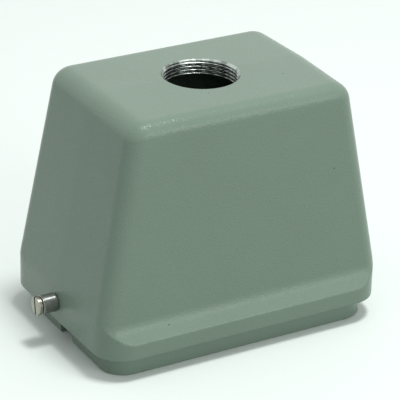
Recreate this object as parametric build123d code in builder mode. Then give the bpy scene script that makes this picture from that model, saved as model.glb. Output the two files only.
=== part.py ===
"""Hood of a heavy duty rectangular connector, for two contact inserts side by side.

The hood stands on the rim of its plug collar. Z = 0 is the rim, +X runs along the length of the
hood and +Z points up, out of the cable entry. The casting is drawn to both sides of the parting
plane Y = 0, so its front half is modelled with its draft and mirrored to the back.
"""

import os
from math import asin, cos, radians, sin, sqrt, tan

from build123d import *

# Outer form of the casting, measured at the parting plane
hood_length = 132.0
hood_width = 90.0
hood_height = 107.0
end_slope = 10.4
end_break_height = 23.6
end_break_half_height = 3.3
side_slope = 2.7
shoulder_height = 16.3
shoulder_slope = 38.0
shoulder_depth = 2.75
shoulder_root_radius = 8.5
bend_steps = 6
slope_steps = 4
parting_draft = 1.0
band_corner_radius = 13.2
body_corner_radius = 7.0
top_edge_radius = 6.6

# Plug collar that enters the lower housing
collar_height = 9.5
collar_inset = 5.0
collar_wall = 3.2
collar_corner_radius = 10.6
collar_rim_chamfer = 0.6
notch_width = 10.5

# Hollow inside
body_wall = 4.0
top_wall = 7.0
cavity_ceiling_bevel = 3.0

# Cable entry, bored to the major diameter of its metric fine thread
entry_diameter = 32.0
entry_chamfer = 0.6

# Screw posts for two inserts, each with four screws
insert_screw_span_x = 104.0
insert_screw_span_y = 27.0
insert_pitch_y = 40.0
post_radius = 4.5
post_seat_height = 12.0
post_hole_diameter = 3.3
post_hole_depth = 12.0

# Locking peg: a shoulder screw with a roller
peg_height = 18.2
peg_reach = 9.4
peg_diameter = 8.0
peg_head_length = 2.0
peg_head_chamfer = 0.5
peg_slot_width = 1.0
peg_slot_depth = 1.3
peg_slot_lean = 10.0
peg_journal_diameter = 5.6
peg_shank_diameter = 5.0
peg_shank_length = 6.5
peg_shank_clearance = 0.02
peg_hole_end_gap = 0.5
roller_running_clearance = 0.05
roller_wall_gap = 0.6
roller_head_gap = 0.5
roller_edge_chamfer = 0.25

half_length = hood_length / 2
half_width = hood_width / 2
ceiling_height = hood_height - top_wall

# Root of the shoulder: an inside arc that turns from the shoulder's lean up into the long face
root_bottom = shoulder_height + shoulder_depth / tan(radians(shoulder_slope))
root_centre_height = root_bottom + shoulder_root_radius * sin(radians(shoulder_slope))
root_centre_recess = shoulder_depth - shoulder_root_radius * cos(radians(shoulder_slope))
root_top = root_centre_height - shoulder_root_radius * sin(radians(side_slope))


def end_recess(height):
    """How far an end has leaned in at a height: upright, then an arc, then a straight slope."""
    blend_start = end_break_height - end_break_half_height
    blend_radius = end_break_half_height / tan(radians(end_slope) / 2)
    blend_height = blend_radius * sin(radians(end_slope))
    rise = min(max(height - blend_start, 0.0), blend_height)
    arc_recess = blend_radius * (1 - cos(asin(rise / blend_radius)))
    straight_rise = max(height - blend_start - blend_height, 0.0)
    return arc_recess + straight_rise * tan(radians(end_slope))


def side_recess(height):
    """How far a long face is set in at a height: upright band, leaning shoulder, root arc, slope."""
    if height < root_bottom:
        return max(height - shoulder_height, 0.0) * tan(radians(shoulder_slope))
    below_centre = root_centre_height - min(height, root_top)
    arc_recess = root_centre_recess + sqrt(shoulder_root_radius**2 - below_centre**2)
    return arc_recess + max(height - root_top, 0.0) * tan(radians(side_slope))


def half_length_at(height):
    return half_length - end_recess(height)


def half_width_at(height):
    return half_width - side_recess(height)


def ceiling_bevel_at(height):
    """How far the bevel between the walls and the ceiling has come in at a height."""
    return max(height - (ceiling_height - cavity_ceiling_bevel), 0.0)


def cavity_half_length_at(height):
    """The core draws down through the collar, so the hollow is never wider than the collar."""
    below_bevel = min(half_length - collar_inset - collar_wall, half_length_at(height) - body_wall)
    return below_bevel - ceiling_bevel_at(height)


def cavity_half_width_at(height):
    below_bevel = min(half_width - collar_inset - collar_wall, half_width_at(height) - body_wall)
    return below_bevel - ceiling_bevel_at(height)


def drafted_corners(at_parting, at_front):
    """Plan of the front half: each end leans back by the draft from the parting plane to the front."""
    at_corner = at_parting - at_front * tan(radians(parting_draft))
    return [(at_parting, 0), (at_corner, -at_front), (-at_corner, -at_front), (-at_parting, 0)]


# Heights of the level sections: close together where the faces bend, wider on the slopes above
bend_bottom = min(root_bottom, end_break_height - end_break_half_height)
bend_top = max(root_top, end_break_height + end_break_half_height)
bend_rise = (bend_top - bend_bottom) / bend_steps
slope_rise = (hood_height - 2 * top_edge_radius - bend_top) / slope_steps
section_heights = [collar_height, shoulder_height]
section_heights += [bend_bottom + bend_rise * step for step in range(bend_steps + 1)]
section_heights += [bend_top + slope_rise * (step + 1) for step in range(slope_steps)]
section_heights += [hood_height]

# Front half of the body: level sections, with the ends drafted away from the parting plane
with BuildPart() as front_half:
    for section_height in sorted(section_heights):
        with BuildSketch(Plane.XY.offset(section_height)):
            with BuildLine():
                Polyline(
                    *drafted_corners(half_length_at(section_height), half_width_at(section_height)),
                    close=True,
                )
            make_face()
            fillet(vertices().group_by(Axis.Y)[0], body_corner_radius)
    loft(ruled=True)
    # The top falls away from the parting plane by the draft, and its edges are rounded
    ridge = Plane((0, 0, hood_height), x_dir=(1, 0, 0), z_dir=(0, -sin(radians(parting_draft)), 1))
    split(bisect_by=ridge, keep=Keep.BOTTOM)
    top_face = faces().sort_by(Axis.Z)[-1]
    all_but_ridge_edge = top_face.edges().sort_by(Axis.Y)[:-1]
    fillet(all_but_ridge_edge, top_edge_radius)
    # The band below has rounder corners, which the shoulder runs out into
    with BuildSketch(Plane.XY.offset(collar_height)):
        with BuildLine():
            Polyline(*drafted_corners(half_length, half_width), close=True)
        make_face()
        fillet(vertices().group_by(Axis.Y)[0], band_corner_radius)
    extrude(amount=hood_height - collar_height, mode=Mode.INTERSECT)

with BuildPart() as body:
    add(front_half.part)
    mirror(about=Plane.XZ)

# The hollow, as the core that leaves it: upright walls, then walls that follow the outer slopes
wall_step = collar_inset + collar_wall - body_wall
end_wall_break = end_break_height + wall_step / tan(radians(end_slope))
side_wall_break = root_top + max(wall_step - side_recess(root_top), 0.0) / tan(radians(side_slope))
bevel_height = ceiling_height - cavity_ceiling_bevel
core_heights = [0.0]
core_heights += [height for height in sorted([end_wall_break, side_wall_break]) if height < bevel_height]
core_heights += [bevel_height, ceiling_height]

with BuildPart() as core:
    for core_height in core_heights:
        with BuildSketch(Plane.XY.offset(core_height)):
            RectangleRounded(
                2 * cavity_half_length_at(core_height),
                2 * cavity_half_width_at(core_height),
                collar_corner_radius - collar_wall,
            )
    loft(ruled=True)
    # Screw posts run up from the insert's seat into the sloping end walls, so that the core can draw
    with BuildSketch(Plane.XY.offset(post_seat_height)):
        with GridLocations(0, insert_pitch_y, 1, 2):
            with GridLocations(0, insert_screw_span_y, 1, 2):
                with Locations((insert_screw_span_x / 2, 0)):
                    Circle(post_radius)
                    Rectangle(half_length, 2 * post_radius, align=(Align.MIN, Align.CENTER))
        mirror(about=Plane.YZ)
    extrude(amount=ceiling_height - post_seat_height, mode=Mode.SUBTRACT)

with BuildPart() as hood_shell:
    add(body.part)
    # Plug collar, set in from the body all round
    with BuildSketch():
        RectangleRounded(
            hood_length - 2 * collar_inset,
            hood_width - 2 * collar_inset,
            collar_corner_radius,
        )
    extrude(amount=collar_height)
    chamfer(faces().sort_by(Axis.Z)[0].edges(), collar_rim_chamfer)
    add(core.part, mode=Mode.SUBTRACT)
    # A notch through the collar in the middle of each end
    with BuildSketch():
        Rectangle(hood_length, notch_width)
    extrude(amount=collar_height, mode=Mode.SUBTRACT)
    # Cable entry with its lead-in chamfer
    with BuildSketch(Plane.XZ):
        with BuildLine():
            Polyline(
                (0, ceiling_height - top_wall),
                (entry_diameter / 2, ceiling_height - top_wall),
                (entry_diameter / 2, hood_height - entry_chamfer),
                (entry_diameter / 2 + 2 * entry_chamfer, hood_height + entry_chamfer),
                (0, hood_height + entry_chamfer),
                close=True,
            )
        make_face()
    revolve(axis=Axis.Z, mode=Mode.SUBTRACT)
    # Tapped holes in the posts
    with BuildSketch(Plane.XY.offset(post_seat_height)):
        with GridLocations(0, insert_pitch_y, 1, 2):
            with GridLocations(insert_screw_span_x, insert_screw_span_y, 2, 2):
                Circle(post_hole_diameter / 2)
    extrude(amount=post_hole_depth, mode=Mode.SUBTRACT)
    # Blind holes for the peg pins
    for end_plane in (
        Plane((-half_length, 0, peg_height), z_dir=(1, 0, 0)),
        Plane((half_length, 0, peg_height), z_dir=(-1, 0, 0)),
    ):
        with BuildSketch(end_plane):
            Circle(peg_shank_diameter / 2 + peg_shank_clearance)
        extrude(amount=peg_shank_length + peg_hole_end_gap, mode=Mode.SUBTRACT)

os.makedirs("parts", exist_ok=True)
hood_shell.part.label = "hood_shell"
export_step(hood_shell.part, "parts/hood_shell.step")

# Pegs, one at each end: a shoulder screw held in the wall, and a roller that turns on its shoulder
roller_end = peg_reach - peg_head_length - roller_head_gap

for side, outward in (("left", -1), ("right", 1)):
    peg_plane = Plane((outward * half_length, 0, peg_height), x_dir=(outward, 0, 0), z_dir=(0, -outward, 0))
    peg_axis = Axis((outward * half_length, 0, peg_height), (outward, 0, 0))
    head_end = (outward * (half_length + peg_reach), 0, peg_height)
    slot_line = (0, -outward * sin(radians(peg_slot_lean)), cos(radians(peg_slot_lean)))
    head_plane = Plane(head_end, x_dir=slot_line, z_dir=(outward, 0, 0))

    with BuildPart() as peg_pin:
        with BuildSketch(peg_plane):
            with BuildLine():
                Polyline(
                    (-peg_shank_length, 0),
                    (-peg_shank_length, peg_shank_diameter / 2),
                    (0, peg_shank_diameter / 2),
                    (0, peg_journal_diameter / 2),
                    (peg_reach - peg_head_length, peg_journal_diameter / 2),
                    (peg_reach - peg_head_length, peg_diameter / 2),
                    (peg_reach, peg_diameter / 2),
                    (peg_reach, 0),
                    close=True,
                )
            make_face()
        revolve(axis=peg_axis)
        head_rim = edges().filter_by(GeomType.CIRCLE).sort_by(Axis.X)[-1 if outward > 0 else 0]
        chamfer(head_rim, peg_head_chamfer)
        with BuildSketch(head_plane):
            Rectangle(2 * peg_diameter, peg_slot_width)
        extrude(amount=-peg_slot_depth, mode=Mode.SUBTRACT)
    peg_pin.part.label = f"{side}_peg_pin"
    export_step(peg_pin.part, f"parts/{side}_peg_pin.step")

    with BuildPart() as peg_roller:
        with BuildSketch(peg_plane):
            with BuildLine():
                Polyline(
                    (roller_wall_gap, peg_journal_diameter / 2 + roller_running_clearance),
                    (roller_wall_gap, peg_diameter / 2),
                    (roller_end, peg_diameter / 2),
                    (roller_end, peg_journal_diameter / 2 + roller_running_clearance),
                    close=True,
                )
            make_face()
        revolve(axis=peg_axis)
        outer_rims = edges().filter_by(GeomType.CIRCLE).group_by(SortBy.RADIUS)[-1]
        chamfer(outer_rims, roller_edge_chamfer)
    peg_roller.part.label = f"{side}_peg_roller"
    export_step(peg_roller.part, f"parts/{side}_peg_roller.step")
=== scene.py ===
"""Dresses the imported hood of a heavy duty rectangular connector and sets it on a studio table.

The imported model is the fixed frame, in metres, with Z = 0 at the rim of the plug collar and +X along
the hood. Each piece is a surface worked out as whole arrays over a grid: rows run along a profile and
columns run round it.
"""

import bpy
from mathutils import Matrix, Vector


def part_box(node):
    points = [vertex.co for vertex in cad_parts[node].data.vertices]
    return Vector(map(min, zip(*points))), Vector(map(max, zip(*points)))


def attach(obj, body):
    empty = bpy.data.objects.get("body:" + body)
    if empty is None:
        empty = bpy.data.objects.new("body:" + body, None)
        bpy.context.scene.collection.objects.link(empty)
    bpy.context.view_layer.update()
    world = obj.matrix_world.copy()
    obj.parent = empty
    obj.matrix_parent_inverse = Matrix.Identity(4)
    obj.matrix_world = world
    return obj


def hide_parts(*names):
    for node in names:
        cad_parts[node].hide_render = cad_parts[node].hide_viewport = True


bl_info = {
    "name": "Connector Hood Dressing",
    "version": (1, 0, 0),
    "blender": (4, 5, 0),
    "location": "View3D > Sidebar > Hood",
    "description": "Coated casting, cut entry thread, turned pegs and rollers for a packed connector hood",
    "category": "Object",
}

from math import radians

import bpy
import numpy as np
from bpy.props import FloatProperty, FloatVectorProperty, PointerProperty
from bpy.types import Operator, Panel, PropertyGroup
from mathutils import Matrix, Vector

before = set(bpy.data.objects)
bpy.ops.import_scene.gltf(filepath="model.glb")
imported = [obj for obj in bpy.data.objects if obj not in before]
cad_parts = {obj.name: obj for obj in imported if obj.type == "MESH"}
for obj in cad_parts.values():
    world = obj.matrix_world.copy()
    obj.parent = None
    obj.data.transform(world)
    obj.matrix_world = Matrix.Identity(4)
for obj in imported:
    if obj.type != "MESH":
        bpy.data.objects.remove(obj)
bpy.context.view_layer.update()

MM = 0.001

shell_low, shell_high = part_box("hood_shell")
pin_low, pin_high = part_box("right_peg_pin")
roller_low, roller_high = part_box("right_peg_roller")

# How finely the grids are divided
NOTCH_COLUMNS = 2
END_COLUMNS = 16
CORNER_COLUMNS = 22
SIDE_COLUMNS = 54
BAND_ROWS = 6
SHOULDER_EDGE_ROWS = 6
SHOULDER_ROWS = 9
ROOT_ROWS = 16
SLOPE_ROWS = 26
TOP_EDGE_ROWS = 14
TOP_ROWS = 12
CEILING_ROWS = 5
EDGE_ROWS = 4
POST_NOSE_COLUMNS = 25
POST_ROWS = 14
POST_HOLE_ROWS = 3
THREAD_COLUMNS = 288
THREAD_ROWS_PER_TURN = 20
TURNED_COLUMNS = 96
HEAD_STATIONS = 22
HEAD_ROWS = 41
HEAD_SIDE_ROWS = 5
SHARP_ANGLE = radians(32)
MERGE_DISTANCE = 0.0001 * MM

# Form of a metric thread: the lean of its flanks, and half a crest as a share of the pitch
FLANK_ANGLE = radians(30)
CREST_HALF = 1 / 8

# Distance at which a wave texture of scale 1 repeats itself
WAVE_LENGTH = 0.314

WHITE = (1.0, 1.0, 1.0, 1.0)


def length(name, description, default):
    """A size that a user would change, in metres."""
    return FloatProperty(
        name=name,
        description=description,
        default=default,
        min=0.0,
        precision=5,
        subtype="DISTANCE",
        unit="LENGTH",
    )


def angle(name, description, default):
    """An angle that a user would change, in radians."""
    return FloatProperty(
        name=name, description=description, default=default, subtype="ANGLE", unit="ROTATION"
    )


def colour(name, description, default):
    """A colour, as linear red, green and blue."""
    return FloatVectorProperty(
        name=name, description=description, default=default, size=3, min=0.0, max=1.0, subtype="COLOR"
    )


def amount(name, description, default):
    """A strength, share or count that has no unit of its own here."""
    return FloatProperty(name=name, description=description, default=default, min=0.0)


def position(name, description, default):
    """A point in the frame, in metres."""
    return FloatVectorProperty(
        name=name, description=description, default=default, size=3, subtype="TRANSLATION", unit="LENGTH"
    )


class CastingSettings(PropertyGroup):
    """Sizes and finish of the coated casting."""

    hood_length: length("Length", "Body length at the parting plane", shell_high.x - shell_low.x)
    hood_width: length("Width", "Body width", shell_high.y - shell_low.y)
    hood_height: length("Height", "Height of the ridge over the rim", shell_high.z - shell_low.z)
    end_slope: angle("End slope", "Lean of the ends above their break", radians(10.4))
    end_break_height: length("End break", "Height of the break in the ends", 23.6 * MM)
    end_break_half_height: length("End break half height", "Half the height of the rounded break", 3.3 * MM)
    side_slope: angle("Side slope", "Lean of the long faces above the shoulder", radians(2.7))
    shoulder_height: length("Shoulder height", "Height of the shoulder's edge", 16.3 * MM)
    shoulder_slope: angle("Shoulder slope", "Lean of the shoulder along each long side", radians(38.0))
    shoulder_depth: length("Shoulder depth", "How far the shoulder leads in before its root", 2.75 * MM)
    shoulder_root_radius: length("Shoulder root", "Inside radius from the shoulder to the face", 8.5 * MM)
    shoulder_edge_radius: length("Shoulder edge", "Radius of the shoulder's edge", 1.5 * MM)
    parting_draft: angle("Draft", "Draft away from the parting plane", radians(1.0))
    band_corner_radius: length("Band corner", "Plan radius of the band's corners", 13.2 * MM)
    body_corner_radius: length("Body corner", "Plan radius of the corners above the band", 7.0 * MM)
    top_end_radius: length("Top end edge", "Radius of the top's edge over the ends", 9.0 * MM)
    top_side_radius: length("Top side edge", "Radius of the top's edge over the long faces", 6.2 * MM)
    lower_edge_radius: length("Lower edge", "Radius of the edge over the collar", 0.5 * MM)
    collar_height: length("Collar height", "Height of the plug collar", 9.5 * MM)
    collar_inset: length("Collar inset", "How far the collar is set in from the body", 5.0 * MM)
    collar_wall: length("Collar wall", "Thickness of the collar", 3.2 * MM)
    collar_corner_radius: length("Collar corner", "Plan radius of the collar's corners", 10.6 * MM)
    collar_root_radius: length("Collar root", "Fillet where the collar meets the body", 0.4 * MM)
    rim_chamfer: length("Rim chamfer", "Chamfer round the rim", 0.6 * MM)
    rim_inner_edge: length("Rim inner edge", "Broken edge inside the rim", 0.25 * MM)
    notch_width: length("Notch", "Width of the notch through each end of the collar", 10.5 * MM)
    body_wall: length("Body wall", "Thickness of the side walls", 4.0 * MM)
    top_wall: length("Top wall", "Thickness of the top", 7.0 * MM)
    ceiling_bevel: length("Ceiling bevel", "Bevel between the walls and the ceiling", 3.0 * MM)
    insert_span_x: length("Insert span X", "Screw spacing of an insert along the hood", 104.0 * MM)
    insert_span_y: length("Insert span Y", "Screw spacing of an insert across the hood", 27.0 * MM)
    insert_pitch: length("Insert pitch", "Distance between the two inserts", 40.0 * MM)
    post_radius: length("Post radius", "Radius of a screw post's nose", 4.5 * MM)
    post_seat: length("Post seat", "Height of the seat under the posts", 12.0 * MM)
    post_root: length("Post root", "How deep a post is rooted in the wall", 1.5 * MM)
    post_hole_radius: length("Post hole", "Radius of a tapped hole", 1.65 * MM)
    post_hole_depth: length("Post hole depth", "Depth of a tapped hole", 12.0 * MM)
    coat_colour: colour("Coat", "Grey-green powder coat", (0.20, 0.28, 0.22))
    peel_size: length("Peel size", "Size of the dimples in the coat", 0.65 * MM)
    peel_depth: length("Peel depth", "Depth of the dimples in the coat", 0.075 * MM)
    coat_specular: amount("Specular level", "Strength of the coat's mirror reflection", 0.22)
    coat_roughness_low: amount("Least roughness", "Roughness of the coat where it is glossiest", 0.14)
    coat_roughness_high: amount("Most roughness", "Roughness of the coat where it is dullest", 0.22)
    cloud_scale: amount("Cloud scale", "Clouds in the coat for each metre", 38.0)
    cloud_dark: amount("Cloud dark", "Darkest shade of the clouds", 0.98)
    cloud_light: amount("Cloud light", "Lightest shade of the clouds", 1.02)
    speck_spacing: length("Speck spacing", "Distance between dust specks in the coat", 17.0 * MM)
    speck_core: amount("Speck core", "Radius of a speck's core, as a share of the spacing", 0.012)
    speck_edge: amount("Speck edge", "Radius at which a speck has faded, as a share of the spacing", 0.03)
    speck_shade: amount("Speck shade", "Brightness of a speck against the coat", 0.45)


class EntrySettings(PropertyGroup):
    """Sizes and finish of the thread in the cable entry."""

    major_radius: length("Major radius", "Radius at the root of the thread", 16.0 * MM)
    pitch: length("Pitch", "Rise of the thread in a turn", 1.5 * MM)
    thread_depth: length("Thread depth", "Height of the thread", 0.81 * MM)
    lead_in: length("Lead-in", "Depth of the chamfer below the ridge", 0.4 * MM)
    seam: length("Seam", "Hairline between the cut metal and the coat", 0.02 * MM)
    metal_colour: colour("Bare metal", "Freshly cut casting metal", (0.40, 0.45, 0.42))
    metal_dark: amount("Metal dark", "Darkest shade of the cut metal", 0.6)
    metal_light: amount("Metal light", "Lightest shade of the cut metal", 1.3)
    metal_roughness_low: amount("Least roughness", "Roughness where the tap cut cleanest", 0.24)
    metal_roughness_high: amount("Most roughness", "Roughness where the tap tore the metal", 0.36)
    chatter_scale: amount("Chatter scale", "Chatter marks for each metre round the bore", 280.0)
    chatter_stretch: amount("Chatter stretch", "Scale of the marks along the bore against round it", 0.05)
    chatter_depth: length("Chatter depth", "Depth of the chatter marks", 0.006 * MM)


class PegSettings(PropertyGroup):
    """Sizes and finish of the locking pegs and their rollers."""

    peg_height: length("Height", "Height of the peg's axis", (pin_low.z + pin_high.z) / 2)
    head_radius: length("Head radius", "Radius of the head", (pin_high.z - pin_low.z) / 2)
    reach: length("Reach", "How far the head stands out from the end", pin_high.x - shell_high.x)
    shank_length: length("Shank length", "Length of the shank in the wall", shell_high.x - pin_low.x)
    head_length: length("Head length", "Length of the head", 2.0 * MM)
    head_round: length("Head rounding", "Radius of the head's outer edge", 0.6 * MM)
    head_back_edge: length("Head back edge", "Broken edge behind the head", 0.2 * MM)
    slot_width: length("Slot width", "Width of the driver slot", 1.0 * MM)
    slot_depth: length("Slot depth", "Depth of the driver slot", 1.3 * MM)
    slot_draft: length("Slot draft", "Draw of the slot's walls", 0.02 * MM)
    slot_lean: angle("Slot lean", "Turn of the slot from upright", radians(10.0))
    journal_radius: length("Journal radius", "Radius of the shoulder under the roller", 2.8 * MM)
    shank_radius: length("Shank radius", "Radius of the shank in the wall", 2.5 * MM)
    roller_start: length("Roller start", "Gap at the wall", roller_low.x - shell_high.x)
    roller_end: length("Roller end", "Where the roller ends under the head", roller_high.x - shell_high.x)
    roller_radius: length("Roller radius", "Outer radius of the roller", (roller_high.z - roller_low.z) / 2)
    running_clearance: length("Running clearance", "Radial clearance on the journal", 0.05 * MM)
    roller_chamfer: length("Roller chamfer", "Chamfer of the roller's rims", 0.25 * MM)
    pin_colour: colour("Pin", "Warm nickel plate", (0.36, 0.36, 0.30))
    roller_colour: colour("Roller", "Bright turned steel", (0.27, 0.28, 0.265))
    metal_dark: amount("Metal dark", "Darkest shade of the turned metal", 0.86)
    metal_light: amount("Metal light", "Lightest shade of the turned metal", 1.06)
    metal_roughness_low: amount("Least roughness", "Roughness of the metal where it is brightest", 0.24)
    metal_roughness_high: amount("Most roughness", "Roughness of the metal where it is dullest", 0.38)
    haze_scale: amount("Haze scale", "Patches of haze on the metal for each metre", 420.0)
    tool_mark: length("Tool marks", "Distance between the turning marks", 0.16 * MM)
    tool_mark_depth: length("Tool mark depth", "Depth of the turning marks", 0.0015 * MM)
    tool_mark_strength: amount("Tool mark strength", "How clearly the turning marks show", 0.6)
    ring_waver: amount("Ring waver", "How unevenly the rings of the turning marks run", 1.5)
    groove_waver: amount("Groove waver", "How unevenly the grooves of the turning marks run", 2.0)


class StageSettings(PropertyGroup):
    """Table, light and camera."""

    floor_size: length("Table size", "Edge of the white table", 12.0)
    floor_colour: colour("Table", "White of the table", (0.89, 0.965, 0.93))
    bounce_colour: colour("Bounce", "What the table throws back at the hood", (0.50, 0.53, 0.52))
    floor_roughness: amount("Table roughness", "Roughness of the table", 0.7)
    floor_specular: amount("Table specular", "Strength of the table's mirror reflection", 0.2)
    air_strength: amount("Air", "Even light from all round", 0.54)
    key_power: amount("Key", "Overhead softbox, in watts", 11.5)
    key_place: position("Key place", "Where the overhead softbox hangs", (0.20, -0.185, 1.474))
    key_size: length("Key size", "Edge of the overhead softbox", 0.3)
    fill_power: amount("Fill", "Lamp in front on the right, in watts", 3.6)
    fill_place: position("Fill place", "Where the front lamp stands", (0.5, -1.2, 0.5))
    fill_size: length("Fill size", "Edge of the front lamp", 0.6)
    camera_azimuth: angle("Azimuth", "Camera's turn from the front", radians(-30.1028))
    camera_elevation: angle("Elevation", "Camera's height angle", radians(25.6286))
    camera_roll: angle("Roll", "Camera's roll", radians(1.3651))
    camera_shift: length("Shift", "How far right of the hood's axis the camera looks", 0.9439 * MM)
    camera_aim_height: length("Aim height", "Height of the point that the camera looks at", 49.8793 * MM)
    camera_distance: length("Distance", "From the camera to what it looks at", 0.981054)
    camera_lens: amount("Lens", "Focal length in millimetres", 212.25)
    camera_sensor: amount("Sensor", "Width of the sensor in millimetres", 36.0)


# Shapes of the casting


def end_recess(s, height):
    """How far an end has leaned in at a height: upright, then an arc through the break, then straight.

    With the arc's radius R = half_height / tan(slope / 2), the recess is R - sqrt(R^2 - t^2) at a rise t
    over the arc's start, up to t = R sin(slope), and grows by tan(slope) from there.
    """
    radius = s.end_break_half_height / np.tan(s.end_slope / 2)
    rise = height - (s.end_break_height - s.end_break_half_height)
    arc_rise = radius * np.sin(s.end_slope)
    on_arc = np.clip(rise, 0.0, arc_rise)
    above_arc = np.maximum(rise - arc_rise, 0.0)
    return radius - np.sqrt(radius**2 - on_arc**2) + above_arc * np.tan(s.end_slope)


def shoulder_levels(s):
    """Heights where the long side's profile changes: edge start, edge end, root start and root end."""
    tangent = s.shoulder_edge_radius * np.tan(s.shoulder_slope / 2)
    edge_start = s.shoulder_height - tangent
    edge_end = s.shoulder_height + tangent * np.cos(s.shoulder_slope)
    root_start = s.shoulder_height + s.shoulder_depth / np.tan(s.shoulder_slope)
    root_rise = s.shoulder_root_radius * (np.sin(s.shoulder_slope) - np.sin(s.side_slope))
    return edge_start, edge_end, root_start, root_start + root_rise


def side_recess(s, height):
    """How far a long face is set in at a height: band, rounded edge, leaning shoulder, root arc, slope.

    The edge is e - sqrt(e^2 - t^2) at a rise t over its start, the shoulder grows by tan(lean), the root is
    an inside arc c + sqrt(R^2 - d^2) at a depth d below its centre, and the face grows by tan(slope).
    """
    edge_start, edge_end, root_start, root_end = shoulder_levels(s)
    edge = s.shoulder_edge_radius
    root = s.shoulder_root_radius
    on_edge = edge - np.sqrt(edge**2 - (np.clip(height, edge_start, edge_end) - edge_start) ** 2)
    on_shoulder = (np.clip(height, edge_end, root_start) - edge_end) * np.tan(s.shoulder_slope)
    centre = root_start + root * np.sin(s.shoulder_slope)
    below_centre = centre - np.clip(height, root_start, root_end)
    on_root = np.sqrt(root**2 - below_centre**2) - root * np.cos(s.shoulder_slope)
    on_face = np.maximum(height - root_end, 0.0) * np.tan(s.side_slope)
    return on_edge + on_shoulder + on_root + on_face


def half_length_at(s, height):
    """Half the body's length at a height, measured in the parting plane."""
    return s.hood_length / 2 - end_recess(s, height)


def half_width_at(s, height):
    """Half the body's width at a height."""
    return s.hood_width / 2 - side_recess(s, height)


def cavity_at(s, height):
    """Half length, half width and corner radius of the hollow, with its bevel under the ceiling."""
    bevel_start = s.hood_height - s.top_wall - s.ceiling_bevel
    bevel = np.maximum(height - bevel_start, 0.0)
    collar = s.collar_inset + s.collar_wall
    half_length = np.minimum(s.hood_length / 2 - collar, half_length_at(s, height) - s.body_wall)
    half_width = np.minimum(s.hood_width / 2 - collar, half_width_at(s, height) - s.body_wall)
    return half_length - bevel, half_width - bevel, s.collar_corner_radius - s.collar_wall


def held_inside(x, y, half_length, half_width, corner):
    """Draws points that lie past a rounded rectangle's corners back to it, towards the corner's centre."""
    inner_x = np.clip(x, corner - half_length, half_length - corner)
    inner_y = np.clip(y, corner - half_width, half_width - corner)
    past = np.maximum(np.hypot(x - inner_x, y - inner_y), MM)
    held = np.minimum(corner / past, 1.0)
    return inner_x + (x - inner_x) * held, inner_y + (y - inner_y) * held


class PlanColumns:
    """Columns round the plan, anticlockwise from the middle of the right end.

    In each quarter a column is a share of the way along the end, round the corner and along the side.
    """

    def __init__(self, notch_share):
        in_notch = np.linspace(0.0, notch_share, NOTCH_COLUMNS + 1)
        past_notch = np.linspace(notch_share, 1.0, END_COLUMNS + 1)[1:]
        along_end = np.concatenate([in_notch, past_notch])
        round_corner = np.linspace(0.0, 1.0, CORNER_COLUMNS + 1)[1:]
        along_side = np.linspace(0.0, 1.0, SIDE_COLUMNS + 1)[1:]
        after_end = CORNER_COLUMNS + SIDE_COLUMNS
        end = np.pad(along_end, (0, after_end), constant_values=1.0)
        corner = np.concatenate([np.zeros(len(along_end)), round_corner, np.ones(SIDE_COLUMNS)])
        side = np.pad(along_side, (len(along_end) + CORNER_COLUMNS, 0))
        count = len(end)
        up = np.arange(count)
        order = np.concatenate([up, up[-2::-1], up[1:], up[-2:0:-1]])
        self.end = end[order]
        self.corner = corner[order]
        self.side = side[order]
        self.sign_x = np.repeat([1, -1, 1], [count, 2 * count - 2, count - 2])
        self.sign_y = np.repeat([1, -1], [2 * count - 1, 2 * count - 3])
        self.count = len(order)
        at_notch_side = np.isclose(self.end, notch_share)
        self.in_notch = (self.end < notch_share) | at_notch_side
        self.notch_sides = np.flatnonzero(at_notch_side)

    def points(self, half_length, half_width, corner_radius):
        """Points of a rounded rectangle, for every row and column.

        x = (a - r)(1 - side) + r cos(90 corner) and y = (b - r) end + r sin(90 corner).
        """
        turn = self.corner * np.pi / 2
        x = (half_length - corner_radius) * (1 - self.side) + corner_radius * np.cos(turn)
        y = (half_width - corner_radius) * self.end + corner_radius * np.sin(turn)
        return self.sign_x * x, self.sign_y * y


def column(values):
    """A list of row values as a column, to be spread over the grid's columns."""
    return np.asarray(values, float)[:, None]


def collar_rows(s, columns):
    """The rim and the outside of the collar, from the hollow round to its root under the body."""
    root = s.collar_root_radius
    bend = np.linspace(0.0, np.pi / 2, EDGE_ROWS + 1)
    inset = [s.collar_inset + s.collar_wall, s.collar_inset + s.collar_wall - s.rim_inner_edge]
    height = [s.rim_inner_edge, 0.0]
    inset += [s.collar_inset + s.rim_chamfer, s.collar_inset]
    height += [0.0, s.rim_chamfer]
    inset = column(np.concatenate([inset, s.collar_inset - root * (1 - np.cos(bend))]))
    height = column(np.concatenate([height, s.collar_height - root * (1 - np.sin(bend))]))
    corner = s.collar_corner_radius + s.collar_inset - inset
    x, y = columns.points(s.hood_length / 2 - inset, s.hood_width / 2 - inset, corner)
    return np.stack(np.broadcast_arrays(x, y, height), axis=-1)


def body_plan(s, columns, half_length, half_width, corner, edge_inset):
    """Plan of the body at its rows: a rounded rectangle, held inside the band's rounder corners.

    The ends lean back from the parting plane: x shrinks in the ratio 1 - tan(draft) |y| / half_length.
    """
    x, y = columns.points(half_length, half_width, corner)
    band_length = s.hood_length / 2 - edge_inset
    band_width = s.hood_width / 2 - edge_inset
    x, y = held_inside(x, y, band_length, band_width, s.band_corner_radius - edge_inset)
    return x * (1 - np.tan(s.parting_draft) * np.abs(y) / half_length), y


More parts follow.
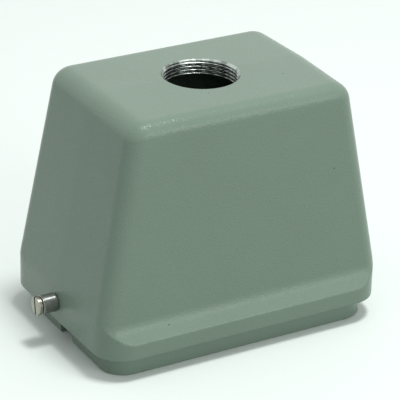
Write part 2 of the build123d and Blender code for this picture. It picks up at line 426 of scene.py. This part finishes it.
def body_rows(s, columns):
    """The outside of the body, from its lower edge to the top edge.

    The rows are level up to the top of the bends. On the slopes they tilt gradually to the fall of the top,
    and end at the height where the top edge's rounding begins, which follows each face's own slope.
    """
    draft = np.tan(s.parting_draft)
    edge = s.lower_edge_radius
    bend = np.linspace(0.0, np.pi / 2, EDGE_ROWS + 1)[:-1]
    edge_inset = column(edge * (1 - np.sin(bend)))
    edge_height = column(s.collar_height + edge * (1 - np.cos(bend)))
    plan = body_plan(
        s,
        columns,
        s.hood_length / 2 - edge_inset,
        s.hood_width / 2 - edge_inset,
        s.body_corner_radius,
        edge_inset,
    )
    edge_grid = np.stack(np.broadcast_arrays(*plan, edge_height), axis=-1)

    edge_start, edge_end, root_start, root_end = shoulder_levels(s)
    bend_end = max(root_end, s.end_break_height + s.end_break_half_height)
    bends = np.concatenate(
        [
            np.linspace(s.collar_height + edge, edge_start, BAND_ROWS, endpoint=False),
            np.linspace(edge_start, edge_end, SHOULDER_EDGE_ROWS, endpoint=False),
            np.linspace(edge_end, root_start, SHOULDER_ROWS, endpoint=False),
            np.linspace(root_start, bend_end, ROOT_ROWS, endpoint=False),
        ]
    )
    slope = s.end_slope + (s.side_slope - s.end_slope) * columns.corner
    rounding = s.top_end_radius + (s.top_side_radius - s.top_end_radius) * columns.corner
    top = s.hood_height - rounding * (1 - np.sin(slope))
    share = column(np.linspace(0.0, 1.0, SLOPE_ROWS))
    bend_level = np.broadcast_to(column(bends), (len(bends), columns.count))
    level = np.concatenate([bend_level, bend_end + (top - bend_end) * share])
    tilt = np.concatenate([np.zeros((len(bends), 1)), share])
    corner = s.body_corner_radius
    _, y = columns.points(half_length_at(s, level), half_width_at(s, level), corner)
    height = level - tilt * draft * np.abs(y)
    half_length = half_length_at(s, height)
    half_width = half_width_at(s, height)
    x, y = body_plan(s, columns, half_length, half_width, corner, 0.0)
    side_grid = np.stack([x, y, height], axis=-1)

    # The rounded top edge rolls from the slope's lean to level, and draws the plan in as it does
    share = column(np.linspace(0.0, 1.0, TOP_EDGE_ROWS + 1)[1:])
    lean = slope + (np.pi / 2 - slope) * share
    end_lean = s.end_slope + (np.pi / 2 - s.end_slope) * share
    side_lean = s.side_slope + (np.pi / 2 - s.side_slope) * share
    end_inset = s.top_end_radius * (np.cos(s.end_slope) - np.cos(end_lean))
    side_inset = s.top_side_radius * (np.cos(s.side_slope) - np.cos(side_lean))
    half_length = half_length[-1] - end_inset
    half_width = half_width[-1] - side_inset
    x, y = body_plan(s, columns, half_length, half_width, corner - side_inset, 0.0)
    height = s.hood_height - rounding * (1 - np.sin(lean)) - draft * np.abs(y)
    top_edge_grid = np.stack([x, y, height], axis=-1)
    return np.concatenate([edge_grid, side_grid, top_edge_grid])


def entry_edge(s, e, turn):
    """Radius and height of the edge where the lead-in cone cuts the falling top, at each turn angle.

    The cone r = R + z - (H - lead_in) meets the top z = H - draft |y| at the radius
    r = (R + lead_in) / (1 + draft |sin|).
    """
    fall = np.tan(s.parting_draft) * np.abs(np.sin(turn))
    radius = (e.major_radius + e.lead_in) / (1 + fall)
    return radius, s.hood_height - fall * radius


def top_rows(s, e, columns, outline):
    """The top from its edge in to the cable entry, falling both ways from the ridge, and the entry's wall.

    Each column runs straight from the outline to the point of the circle at the same share of the way round.
    """
    steps = np.linalg.norm(np.roll(outline[:, :2], -1, axis=0) - outline[:, :2], axis=1)
    turn = 2 * np.pi * (np.cumsum(steps) - steps) / steps.sum()
    radius, edge_height = entry_edge(s, e, turn)
    circle = np.stack([radius * np.cos(turn), radius * np.sin(turn)], axis=-1)
    share = np.linspace(0.0, 1.0, TOP_ROWS + 1)[1:, None, None]
    plan = outline[None, :, :2] * (1 - share) + circle * share
    height = s.hood_height - np.tan(s.parting_draft) * np.abs(plan[..., 1:])
    top = np.concatenate([plan, height], axis=-1)
    ceiling = s.hood_height - s.top_wall
    wall = np.concatenate([circle, np.full((columns.count, 1), ceiling)], axis=-1)
    return np.concatenate([top, wall[None]])


def hollow_rows(s, columns, entry_circle):
    """The ceiling from the entry out, the bevel, and the walls of the hollow down to the collar's root."""
    ceiling = s.hood_height - s.top_wall
    bevel_start = ceiling - s.ceiling_bevel
    step = s.collar_inset + s.collar_wall - s.body_wall
    end_break = s.end_break_height + step / np.tan(s.end_slope)
    root_end = shoulder_levels(s)[-1]
    height = column([ceiling, bevel_start, end_break, root_end, s.collar_height])
    x, y = columns.points(*cavity_at(s, height))
    walls = np.stack(np.broadcast_arrays(x, y, height), axis=-1)
    share = np.linspace(0.0, 1.0, CEILING_ROWS + 1)[1:-1, None, None]
    ceiling_rows = entry_circle[None] * (1 - share) + walls[:1] * share
    return np.concatenate([ceiling_rows, walls])


def grid_faces(rows, columns, close_rows=False):
    """Four-sided faces between neighbouring rows and columns of a grid that closes round its columns."""
    row = np.arange(rows if close_rows else rows - 1)[:, None]
    col = np.arange(columns)[None, :]
    next_col = (col + 1) % columns
    this_row = row * columns
    next_row = (row + 1) % rows * columns
    corners = [this_row + col, this_row + next_col, next_row + next_col, next_row + col]
    return np.stack(corners, axis=-1)


def casting_shell(s, e):
    """The casting as one closed grid, with the notches cut out of the collar's rows.

    In a notch, a strip joins the hollow's last row straight to the collar's root, and the rows between are
    left out. The cut ends of those rows close as one flat face on each side of the notch.
    """
    plan_end = s.hood_width / 2 - s.collar_inset - s.collar_corner_radius
    columns = PlanColumns(s.notch_width / 2 / plan_end)
    collar = collar_rows(s, columns)
    body = body_rows(s, columns)
    top = top_rows(s, e, columns, body[-1])
    hollow = hollow_rows(s, columns, top[-1])
    grid = np.concatenate([collar, body, top, hollow])
    rows = len(grid)
    cells = grid_faces(rows, columns.count, close_rows=True)

    root = len(collar) - 1
    cut_rows = np.concatenate([[rows - 1], np.arange(root)])
    cut_columns = columns.in_notch & np.roll(columns.in_notch, -1)
    kept = np.ones(cells.shape[:2], bool)
    kept[np.ix_(cut_rows, np.flatnonzero(cut_columns))] = False
    inner = (rows - 1) * columns.count
    outer = root * columns.count
    col = np.flatnonzero(cut_columns)
    next_col = (col + 1) % columns.count
    strip = np.stack([inner + col, inner + next_col, outer + next_col, outer + col], axis=-1)
    around = np.concatenate([[rows - 1], np.arange(root + 1)])
    sides = around[None, :] * columns.count + columns.notch_sides[:, None]
    turned = (columns.sign_x * columns.sign_y)[columns.notch_sides] < 0
    sides[turned] = sides[turned, ::-1]
    return grid.reshape(-1, 3), [cells[kept], strip, sides]


def post_grids(s):
    """The screw posts, each a prism with a half-round nose, rooted in the end wall, with a blind hole.

    The outline is held at each height inside the hollow's rounded rectangle, grown by the root: beyond the
    corner's centre a point is drawn back to the grown corner radius. The posts of the left end are the right
    ones turned half round.
    """
    nose_turn = np.linspace(np.pi / 2, 3 * np.pi / 2, POST_NOSE_COLUMNS)
    nose = np.stack([np.cos(nose_turn), np.sin(nose_turn)], axis=-1) * s.post_radius
    back = s.hood_length / 2 - s.insert_span_x / 2
    outline = np.concatenate([nose, [[back, -s.post_radius], [back, s.post_radius]]])
    count = len(outline)
    turn = np.arctan2(outline[:, 1], outline[:, 0])
    hole = np.stack([np.cos(turn), np.sin(turn)], axis=-1) * s.post_hole_radius

    ceiling = s.hood_height - s.top_wall
    levels = np.linspace(s.post_seat, ceiling + s.post_root, POST_ROWS)
    hole_top = s.post_seat + s.post_hole_depth
    heights = np.concatenate([[hole_top, hole_top, s.post_seat], levels, levels[-1:]])
    spread = np.concatenate([[0.0, 1.0, 1.0], np.ones(POST_ROWS), [0.0]])
    in_hole = np.arange(len(heights)) < POST_HOLE_ROWS
    plan = np.where(in_hole[:, None, None], hole, outline) * spread[:, None, None]

    half_pitch = s.insert_pitch / 2
    half_span = s.insert_span_y / 2
    centre_y = np.add.outer([-half_pitch, half_pitch], [-half_span, half_span]).ravel()
    x = np.broadcast_to(plan[..., 0] + s.insert_span_x / 2, (len(centre_y), *plan.shape[:2]))
    y = plan[..., 1] + centre_y[:, None, None]
    half_length, half_width, corner = cavity_at(s, column(np.minimum(heights, ceiling - s.ceiling_bevel)))
    root = s.post_root
    x, y = held_inside(x, y, half_length + root, half_width + root, corner + root)
    z = np.broadcast_to(heights[:, None], x.shape)
    right = np.stack([x, y, z], axis=-1)
    posts = np.concatenate([right, right * [-1, -1, 1]])
    faces = grid_faces(len(heights), count).reshape(-1, 4)
    offsets = np.arange(len(posts))[:, None, None] * len(heights) * count
    return posts.reshape(-1, 3), (faces + offsets).reshape(-1, 4)


# Shapes of the turned pieces


def thread_ring(s, e):
    """The cut metal of the cable entry: a hidden outer wall, the lead-in cone and the thread.

    The bore is r = max(thread, cone), with cone = R + z - (H - lead_in) and thread = R - depth f(t), where
    t = (H - z) / pitch + turn / 2 pi, taken to its whole turn, and f is a 60 degree ridge with flats.
    """
    turn = np.linspace(0.0, 2 * np.pi, THREAD_COLUMNS, endpoint=False)[None, :]
    edge_radius, edge_height = entry_edge(s, e, turn)
    floor = s.hood_height - s.top_wall + e.seam
    rows = int(s.top_wall / e.pitch * THREAD_ROWS_PER_TURN)
    share = column(np.linspace(0.0, 1.0, rows))
    height = edge_height + (floor - edge_height) * share
    phase = np.mod((s.hood_height - height) / e.pitch + turn / (2 * np.pi), 1.0)
    flank = e.thread_depth * np.tan(FLANK_ANGLE) / e.pitch
    ridge = np.clip((CREST_HALF + flank - np.abs(phase - 0.5)) / flank, 0.0, 1.0)
    thread = e.major_radius - e.thread_depth * ridge
    cone = e.major_radius + height - (s.hood_height - e.lead_in)
    bore = np.maximum(thread, cone)
    bore[0] = edge_radius[0] - e.seam
    wall = np.broadcast_to(edge_radius - e.seam, (1, THREAD_COLUMNS))
    radius = np.concatenate([wall, bore])
    level = np.concatenate([np.full_like(wall, floor), height])
    grid = np.stack([radius * np.cos(turn), radius * np.sin(turn), level], axis=-1)
    return grid.reshape(-1, 3), [grid_faces(len(grid), THREAD_COLUMNS, close_rows=True).reshape(-1, 4)]


def pin_form(p):
    """The pin of the right peg, with u along its axis from the wall, and v and w across it.

    The head's end is a height field over a disc: u = reach, falling round its rim as a quarter circle of
    the head's rounding, and dropping to the slot's floor where |v| is inside the slot. Its border is then
    carried back along the pin, drawn in to each radius in turn.
    """
    radius = p.head_radius
    half_slot = p.slot_width / 2
    swing = np.linspace(0.0, np.arccos(half_slot / radius), HEAD_STATIONS)
    outer = radius * np.cos(swing)
    floor_edge = half_slot - p.slot_draft
    stations = np.concatenate([-outer, [-floor_edge, 0.0, floor_edge], outer[::-1]])
    inner_stations = stations[1:-1]
    count = len(inner_stations)
    chord = np.sqrt(radius**2 - inner_stations**2)
    w = column(np.sin(np.linspace(-np.pi / 2, np.pi / 2, HEAD_ROWS))) * chord
    v = np.broadcast_to(inner_stations, w.shape)
    past_flat = np.clip(np.hypot(v, w) - (radius - p.head_round), 0.0, p.head_round)
    u = p.reach - p.head_round + np.sqrt(p.head_round**2 - past_flat**2)
    in_slot = np.abs(v) < half_slot - p.slot_draft / 2
    u = np.where(in_slot, np.minimum(u, p.reach - p.slot_depth), u)
    cap = np.stack([u, v, w], axis=-1)
    rim = p.reach - p.head_round
    tips = np.array([[rim, -radius, 0.0], [rim, radius, 0.0]])
    border = np.concatenate([tips[:1], cap[0], tips[1:], cap[-1, ::-1]])

    neck = p.reach - p.head_length
    back = p.head_back_edge
    side_share = column(np.linspace(0.0, 1.0, HEAD_SIDE_ROWS + 1)[1:])
    side_u = border[:, 0] + (neck + back - border[:, 0]) * side_share
    along = [neck, neck, 0.0, 0.0, -p.shank_length, -p.shank_length]
    across = [radius - back, p.journal_radius, p.journal_radius, p.shank_radius, p.shank_radius, 0.0]
    rows_u = np.concatenate([side_u, np.broadcast_to(column(along), (len(along), len(border)))])
    reach = column(np.concatenate([np.full(HEAD_SIDE_ROWS, radius), across])) / radius
    lathe = np.stack([rows_u, border[:, 1] * reach, border[:, 2] * reach], axis=-1)

    cap_ids = np.arange(cap.shape[0] * count).reshape(cap.shape[0], count)
    tip_ids = cap_ids.size + np.arange(2)
    lathe_ids = tip_ids[-1] + 1 + np.arange(lathe.shape[0] * len(border)).reshape(lathe.shape[:2])
    cap_corners = [cap_ids[:-1, :-1], cap_ids[:-1, 1:], cap_ids[1:, 1:], cap_ids[1:, :-1]]
    cap_faces = np.stack(cap_corners, axis=-1)
    first_tip = np.broadcast_to(tip_ids[0], HEAD_ROWS - 1)
    last_tip = np.broadcast_to(tip_ids[1], HEAD_ROWS - 1)
    tip_faces = [
        np.stack([first_tip, cap_ids[:-1, 0], cap_ids[1:, 0]], axis=-1),
        np.stack([last_tip, cap_ids[1:, -1], cap_ids[:-1, -1]], axis=-1),
    ]
    border_ids = np.concatenate([tip_ids[:1], cap_ids[0], tip_ids[1:], cap_ids[-1, ::-1]])
    ids = np.concatenate([border_ids[None], lathe_ids])
    following = np.roll(ids, -1, axis=1)
    side_faces = np.stack([ids[:-1], ids[1:], following[1:], following[:-1]], axis=-1)
    points = np.concatenate([cap.reshape(-1, 3), tips, lathe.reshape(-1, 3)])
    lean_cos, lean_sin = np.cos(p.slot_lean), np.sin(p.slot_lean)
    points = points @ np.array([[1.0, 0.0, 0.0], [0.0, lean_cos, lean_sin], [0.0, -lean_sin, lean_cos]])
    return points, [cap_faces.reshape(-1, 4), *tip_faces, side_faces.reshape(-1, 4)]


def roller_form(p):
    """The roller of the right peg: a ring turned about its axis u, with chamfered outer rims."""
    bore = p.journal_radius + p.running_clearance
    start, end, radius, rim = p.roller_start, p.roller_end, p.roller_radius, p.roller_chamfer
    u = column([start, start, start + rim, end - rim, end, end])
    r = column([bore, radius - rim, radius, radius, radius - rim, bore])
    turn = np.linspace(0.0, 2 * np.pi, TURNED_COLUMNS, endpoint=False)[None, :]
    grid = np.stack(np.broadcast_arrays(u, r * np.cos(turn), r * np.sin(turn)), axis=-1)
    return grid.reshape(-1, 3), [grid_faces(len(grid), TURNED_COLUMNS, close_rows=True).reshape(-1, 4)]


def on_end(points, side, p):
    """Places a peg's points on an end of the hood; the left peg is the right one turned half round."""
    turn = 1.0 if side == "right" else -1.0
    placed = points + [shell_high.x, 0.0, 0.0]
    return placed * [turn, turn, 1.0] + [0.0, 0.0, p.peg_height]


def new_piece(name, points, face_groups, material):
    """Puts points and faces into a mesh object at the origin, smooth but for its hard edges.

    Points that end in one place are merged, so that poles and seams close.
    """
    steps = np.round(points / MERGE_DISTANCE).astype(np.int64)
    place, merged = np.unique(steps, axis=0, return_inverse=True)
    first = np.full(len(place), len(points))
    np.minimum.at(first, merged.ravel(), np.arange(len(points)))
    canonical = first[merged.ravel()]
    faces = [list(dict.fromkeys(face)) for group in face_groups for face in canonical[group].tolist()]
    faces = [face for face in faces if len(face) > 2]
    used, renumbered = np.unique(np.concatenate(faces), return_inverse=True)
    ends = np.cumsum([len(face) for face in faces])
    faces = [part.tolist() for part in np.split(renumbered, ends[:-1])]
    mesh = bpy.data.meshes.new(name)
    mesh.from_pydata(points[used].tolist(), [], faces)
    mesh.validate()
    mesh.shade_smooth()
    mesh.set_sharp_from_angle(angle=SHARP_ANGLE)
    mesh.materials.append(material)
    piece = bpy.data.objects.new(name, mesh)
    bpy.context.scene.collection.objects.link(piece)
    return piece


# Finishes


def add_node(tree, kind, inputs=None, **settings):
    """Adds a node; an input is given a value, or the socket of another node to be linked to."""
    made = tree.nodes.new(kind)
    for key, value in settings.items():
        setattr(made, key, value)
    for key, value in (inputs or {}).items():
        if isinstance(value, bpy.types.NodeSocket):
            tree.links.new(value, made.inputs[key])
        else:
            made.inputs[key].default_value = value
    return made


def new_material(name):
    """An empty material and its tree of nodes."""
    material = bpy.data.materials.new(name)
    material.use_nodes = True
    material.node_tree.nodes.clear()
    return material, material.node_tree


def finish_material(tree, shader):
    """Joins the last shader to the material's output."""
    add_node(tree, "ShaderNodeOutputMaterial", {"Surface": shader.outputs[0]})


def shade(base, factor):
    """A colour made darker or lighter, with full alpha."""
    return [min(channel * factor, 1.0) for channel in base] + [1.0]


def two_tone(tree, factor, base, dark, light, start=0.3, end=0.7):
    """A colour that runs from a dark to a light shade of its base while a factor runs from start to end."""
    tint = add_node(tree, "ShaderNodeValToRGB", {"Fac": factor})
    for element, place, strength in zip(tint.color_ramp.elements, (start, end), (dark, light)):
        element.position = place
        element.color = shade(base, strength)
    return tint.outputs["Color"]


def between(tree, factor, low, high, start=0.0, end=1.0):
    """A value that runs from low to high while a factor runs from start to end."""
    limits = {"From Min": start, "From Max": end, "To Min": low, "To Max": high}
    return add_node(tree, "ShaderNodeMapRange", {"Value": factor, **limits}).outputs["Result"]


def noise(tree, place, scale, detail):
    """Soft random patches, with a scale of so many for each metre."""
    patches = add_node(tree, "ShaderNodeTexNoise", {"Vector": place, "Scale": scale, "Detail": detail})
    return patches.outputs["Fac"]


def cell_distance(tree, place, spacing):
    """Distance to the nearest of many scattered points, as a share of their spacing."""
    cells = add_node(tree, "ShaderNodeTexVoronoi", {"Vector": place, "Scale": 1 / spacing})
    return cells.outputs["Distance"]


def combined(tree, operation, first, second, **settings):
    """The result of an operation on two values."""
    sums = add_node(tree, "ShaderNodeMath", {0: first, 1: second}, operation=operation, **settings)
    return sums.outputs["Value"]


def relief(tree, height, depth, strength=1.0):
    """Normals of a surface that a pattern raises by a depth."""
    bump = add_node(tree, "ShaderNodeBump", {"Height": height, "Distance": depth, "Strength": strength})
    return bump.outputs["Normal"]


def finish_metal(tree, tint, roughness, normal):
    """Ends a material as bare metal."""
    inputs = {"Base Color": tint, "Metallic": 1.0, "Roughness": roughness, "Normal": normal}
    finish_material(tree, add_node(tree, "ShaderNodeBsdfPrincipled", inputs))


def powder_coat(s):
    """Semi-gloss powder coat: dimpled like orange peel, clouded a little, with a few specks of dust."""
    material, tree = new_material("powder_coat")
    place = add_node(tree, "ShaderNodeTexCoord").outputs["Object"]
    clouds = noise(tree, place, s.cloud_scale, 3.0)
    tint = two_tone(tree, clouds, s.coat_colour, s.cloud_dark, s.cloud_light)
    dust = cell_distance(tree, place, s.speck_spacing)
    near = between(tree, dust, s.speck_shade, 1.0, s.speck_core, s.speck_edge)
    speckled = add_node(tree, "ShaderNodeHueSaturation", {"Color": tint, "Value": near})
    dimples = cell_distance(tree, place, s.peel_size)
    bowls = combined(tree, "MULTIPLY", dimples, dimples)
    coat = add_node(
        tree,
        "ShaderNodeBsdfPrincipled",
        {
            "Base Color": speckled.outputs["Color"],
            "Roughness": between(tree, clouds, s.coat_roughness_low, s.coat_roughness_high),
            "Specular IOR Level": s.coat_specular,
            "Normal": relief(tree, bowls, s.peel_depth),
        },
    )
    finish_material(tree, coat)
    return material


def turned_metal(name, base, p):
    """Metal turned on a lathe whose axis runs along X: fine rings and grooves, with uneven gloss."""
    material, tree = new_material(name)
    place = add_node(tree, "ShaderNodeTexCoord").outputs["Object"]
    to_axis = (0.0, 0.0, -p.peg_height)
    on_axis = add_node(tree, "ShaderNodeMapping", {"Vector": place, "Location": to_axis})
    wave = {"Vector": on_axis.outputs["Vector"], "Scale": WAVE_LENGTH / p.tool_mark, "Detail": 2.0}
    rings = add_node(
        tree,
        "ShaderNodeTexWave",
        {**wave, "Distortion": p.ring_waver},
        wave_type="RINGS",
        rings_direction="X",
    )
    grooves = add_node(
        tree,
        "ShaderNodeTexWave",
        {**wave, "Distortion": p.groove_waver},
        wave_type="BANDS",
        bands_direction="X",
    )
    marks = combined(tree, "ADD", rings.outputs["Fac"], grooves.outputs["Fac"])
    haze = noise(tree, place, p.haze_scale, 4.0)
    tint = two_tone(tree, haze, base, p.metal_dark, p.metal_light)
    roughness = between(tree, haze, p.metal_roughness_low, p.metal_roughness_high)
    finish_metal(tree, tint, roughness, relief(tree, marks, p.tool_mark_depth, p.tool_mark_strength))
    return material


def cut_metal(e):
    """Bare casting metal, bright where the tap has cut it, with chatter marks down the thread."""
    material, tree = new_material("cut_metal")
    place = add_node(tree, "ShaderNodeTexCoord").outputs["Object"]
    stretch = (1.0, 1.0, e.chatter_stretch)
    stretched = add_node(tree, "ShaderNodeMapping", {"Vector": place, "Scale": stretch}).outputs["Vector"]
    chatter = noise(tree, stretched, e.chatter_scale, 2.0)
    tint = two_tone(tree, chatter, e.metal_colour, e.metal_dark, e.metal_light, start=0.42, end=0.58)
    roughness = between(tree, chatter, e.metal_roughness_low, e.metal_roughness_high)
    finish_metal(tree, tint, roughness, relief(tree, chatter, e.chatter_depth))
    return material


def table_white(t):
    """Matt table: white where it is seen or mirrored, and less bright where it lights the hood."""
    material, tree = new_material("table_white")
    tint = add_node(tree, "ShaderNodeValToRGB", {"Fac": seen_rays(tree)})
    tint.color_ramp.elements[0].color = shade(t.bounce_colour, 1.0)
    tint.color_ramp.elements[1].color = shade(t.floor_colour, 1.0)
    matt = add_node(
        tree,
        "ShaderNodeBsdfPrincipled",
        {
            "Base Color": tint.outputs["Color"],
            "Roughness": t.floor_roughness,
            "Specular IOR Level": t.floor_specular,
        },
    )
    finish_material(tree, matt)
    return material


def seen_rays(tree):
    """One for camera, glossy and transmission rays, and nothing for the rays that only carry light."""
    rays = add_node(tree, "ShaderNodeLightPath")
    direct = combined(tree, "ADD", rays.outputs["Is Camera Ray"], rays.outputs["Is Glossy Ray"])
    return combined(tree, "ADD", direct, rays.outputs["Is Transmission Ray"], use_clamp=True)


def studio_air(t):
    """White air all round: it lights at its own strength, and is seen and mirrored as plain white."""
    world = bpy.data.worlds.new("studio_air")
    world.use_nodes = True
    tree = world.node_tree
    tree.nodes.clear()
    light = add_node(tree, "ShaderNodeBackground", {"Color": WHITE, "Strength": t.air_strength})
    white = add_node(tree, "ShaderNodeBackground", {"Color": WHITE, "Strength": 1.0})
    mixed = add_node(
        tree,
        "ShaderNodeMixShader",
        {0: seen_rays(tree), 1: light.outputs["Background"], 2: white.outputs["Background"]},
    )
    add_node(tree, "ShaderNodeOutputWorld", {"Surface": mixed.outputs["Shader"]})
    return world


def softbox(name, place, aim, edge, power):
    """A square lamp at a place, turned to face its aim."""
    lamp = bpy.data.lights.new(name, "AREA")
    lamp.shape = "SQUARE"
    lamp.size = edge
    lamp.energy = power
    box = bpy.data.objects.new(name, lamp)
    box.location = place
    box.rotation_euler = (Vector(aim) - Vector(place)).to_track_quat("-Z", "Y").to_euler()
    box.visible_camera = False
    bpy.context.scene.collection.objects.link(box)


class HOOD_OT_casting(Operator):
    """Build the coated casting over its solid"""

    bl_idname = "hood.casting"
    bl_label = "Coated Casting"

    def execute(self, context):
        s = context.scene.hood_casting
        shell_points, shell_faces = casting_shell(s, context.scene.hood_entry)
        post_points, post_faces = post_grids(s)
        points = np.concatenate([shell_points, post_points])
        faces = [*shell_faces, post_faces + len(shell_points)]
        casting = new_piece("hood_casting", points, faces, powder_coat(s))
        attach(casting, "hood")
        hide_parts("hood_shell")
        return {"FINISHED"}


class HOOD_OT_entry(Operator):
    """Cut the thread of the cable entry"""

    bl_idname = "hood.entry"
    bl_label = "Entry Thread"

    def execute(self, context):
        e = context.scene.hood_entry
        points, faces = thread_ring(context.scene.hood_casting, e)
        thread = new_piece("entry_thread", points, faces, cut_metal(e))
        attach(thread, "hood")
        return {"FINISHED"}


class HOOD_OT_pins(Operator):
    """Turn the pins of both locking pegs"""

    bl_idname = "hood.pins"
    bl_label = "Peg Pins"

    def execute(self, context):
        p = context.scene.hood_pegs
        metal = turned_metal("nickel_plate", p.pin_colour, p)
        points, faces = pin_form(p)
        for side in ("left", "right"):
            pin = new_piece(f"{side}_pin", on_end(points, side, p), faces, metal)
            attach(pin, "hood")
            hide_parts(f"{side}_peg_pin")
        return {"FINISHED"}


class HOOD_OT_rollers(Operator):
    """Turn the rollers of both locking pegs"""

    bl_idname = "hood.rollers"
    bl_label = "Peg Rollers"

    def execute(self, context):
        p = context.scene.hood_pegs
        metal = turned_metal("bright_steel", p.roller_colour, p)
        points, faces = roller_form(p)
        for side in ("left", "right"):
            roller = new_piece(f"{side}_roller_ring", on_end(points, side, p), faces, metal)
            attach(roller, f"{side}_roller")
            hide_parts(f"{side}_peg_roller")
        return {"FINISHED"}


class HOOD_OT_stage(Operator):
    """Set the hood on a white table under soft light, and place the camera"""

    bl_idname = "hood.stage"
    bl_label = "Table, Light and Camera"

    def execute(self, context):
        t = context.scene.hood_stage
        scene = context.scene
        corners = np.array([[-1, -1, 0], [1, -1, 0], [1, 1, 0], [-1, 1, 0]]) * t.floor_size / 2
        table = new_piece("table", corners, [np.array([[0, 1, 2, 3]])], table_white(t))
        scene.world = studio_air(t)
        scene.view_settings.view_transform = "Standard"

        aim = (0.0, 0.0, shell_high.z / 2)
        softbox("key_softbox", t.key_place, aim, t.key_size, t.key_power)
        softbox("fill_softbox", t.fill_place, aim, t.fill_size, t.fill_power)

        self.place_camera(scene, t)
        return {"FINISHED"}

    def place_camera(self, scene, t):
        """Camera axes: right along the azimuth, up leaned back by the elevation, both then rolled."""
        sin_a, cos_a = np.sin(t.camera_azimuth), np.cos(t.camera_azimuth)
        sin_e, cos_e = np.sin(t.camera_elevation), np.cos(t.camera_elevation)
        sin_r, cos_r = np.sin(t.camera_roll), np.cos(t.camera_roll)
        level = np.array([cos_a, sin_a, 0.0])
        upright = np.array([-sin_a * sin_e, cos_a * sin_e, cos_e])
        right = level * cos_r + upright * sin_r
        up = upright * cos_r - level * sin_r
        backward = np.array([sin_a * cos_e, -cos_a * cos_e, sin_e])
        aim = level * t.camera_shift + np.array([0.0, 0.0, t.camera_aim_height])
        place = aim + backward * t.camera_distance
        lens = bpy.data.cameras.new("camera")
        lens.sensor_fit = "HORIZONTAL"
        lens.sensor_width = t.camera_sensor
        lens.lens = t.camera_lens
        lens.clip_start = 0.01
        lens.clip_end = 100.0
        camera = bpy.data.objects.new("camera", lens)
        turned = np.eye(4)
        turned[:3] = np.stack([right, up, backward, place], axis=-1)
        camera.matrix_world = Matrix(turned.tolist())
        scene.collection.objects.link(camera)
        scene.camera = camera


class VIEW3D_PT_hood(Panel):
    """Sizes, finishes and building steps of the hood"""

    bl_idname = "VIEW3D_PT_hood"
    bl_label = "Connector Hood"
    bl_space_type = "VIEW_3D"
    bl_region_type = "UI"
    bl_category = "Hood"

    def draw(self, context):
        steps = (
            ("hood_casting", HOOD_OT_casting),
            ("hood_entry", HOOD_OT_entry),
            ("hood_pegs", HOOD_OT_pins),
            ("hood_pegs", HOOD_OT_rollers),
            ("hood_stage", HOOD_OT_stage),
        )
        for _, operator in steps:
            self.layout.operator(operator.bl_idname)
        for group in dict.fromkeys(group for group, _ in steps):
            settings = getattr(context.scene, group)
            box = self.layout.box()
            for key in settings.__annotations__:
                box.prop(settings, key)


CLASSES = (
    CastingSettings,
    EntrySettings,
    PegSettings,
    StageSettings,
    HOOD_OT_casting,
    HOOD_OT_entry,
    HOOD_OT_pins,
    HOOD_OT_rollers,
    HOOD_OT_stage,
    VIEW3D_PT_hood,
)


def register():
    for cls in CLASSES:
        bpy.utils.register_class(cls)
    bpy.types.Scene.hood_casting = PointerProperty(type=CastingSettings)
    bpy.types.Scene.hood_entry = PointerProperty(type=EntrySettings)
    bpy.types.Scene.hood_pegs = PointerProperty(type=PegSettings)
    bpy.types.Scene.hood_stage = PointerProperty(type=StageSettings)


def unregister():
    del bpy.types.Scene.hood_stage
    del bpy.types.Scene.hood_pegs
    del bpy.types.Scene.hood_entry
    del bpy.types.Scene.hood_casting
    for cls in reversed(CLASSES):
        bpy.utils.unregister_class(cls)


def main():
    register()
    bpy.ops.hood.casting()
    bpy.ops.hood.entry()
    bpy.ops.hood.pins()
    bpy.ops.hood.rollers()
    bpy.ops.hood.stage()


if __name__ == "__main__":
    main()
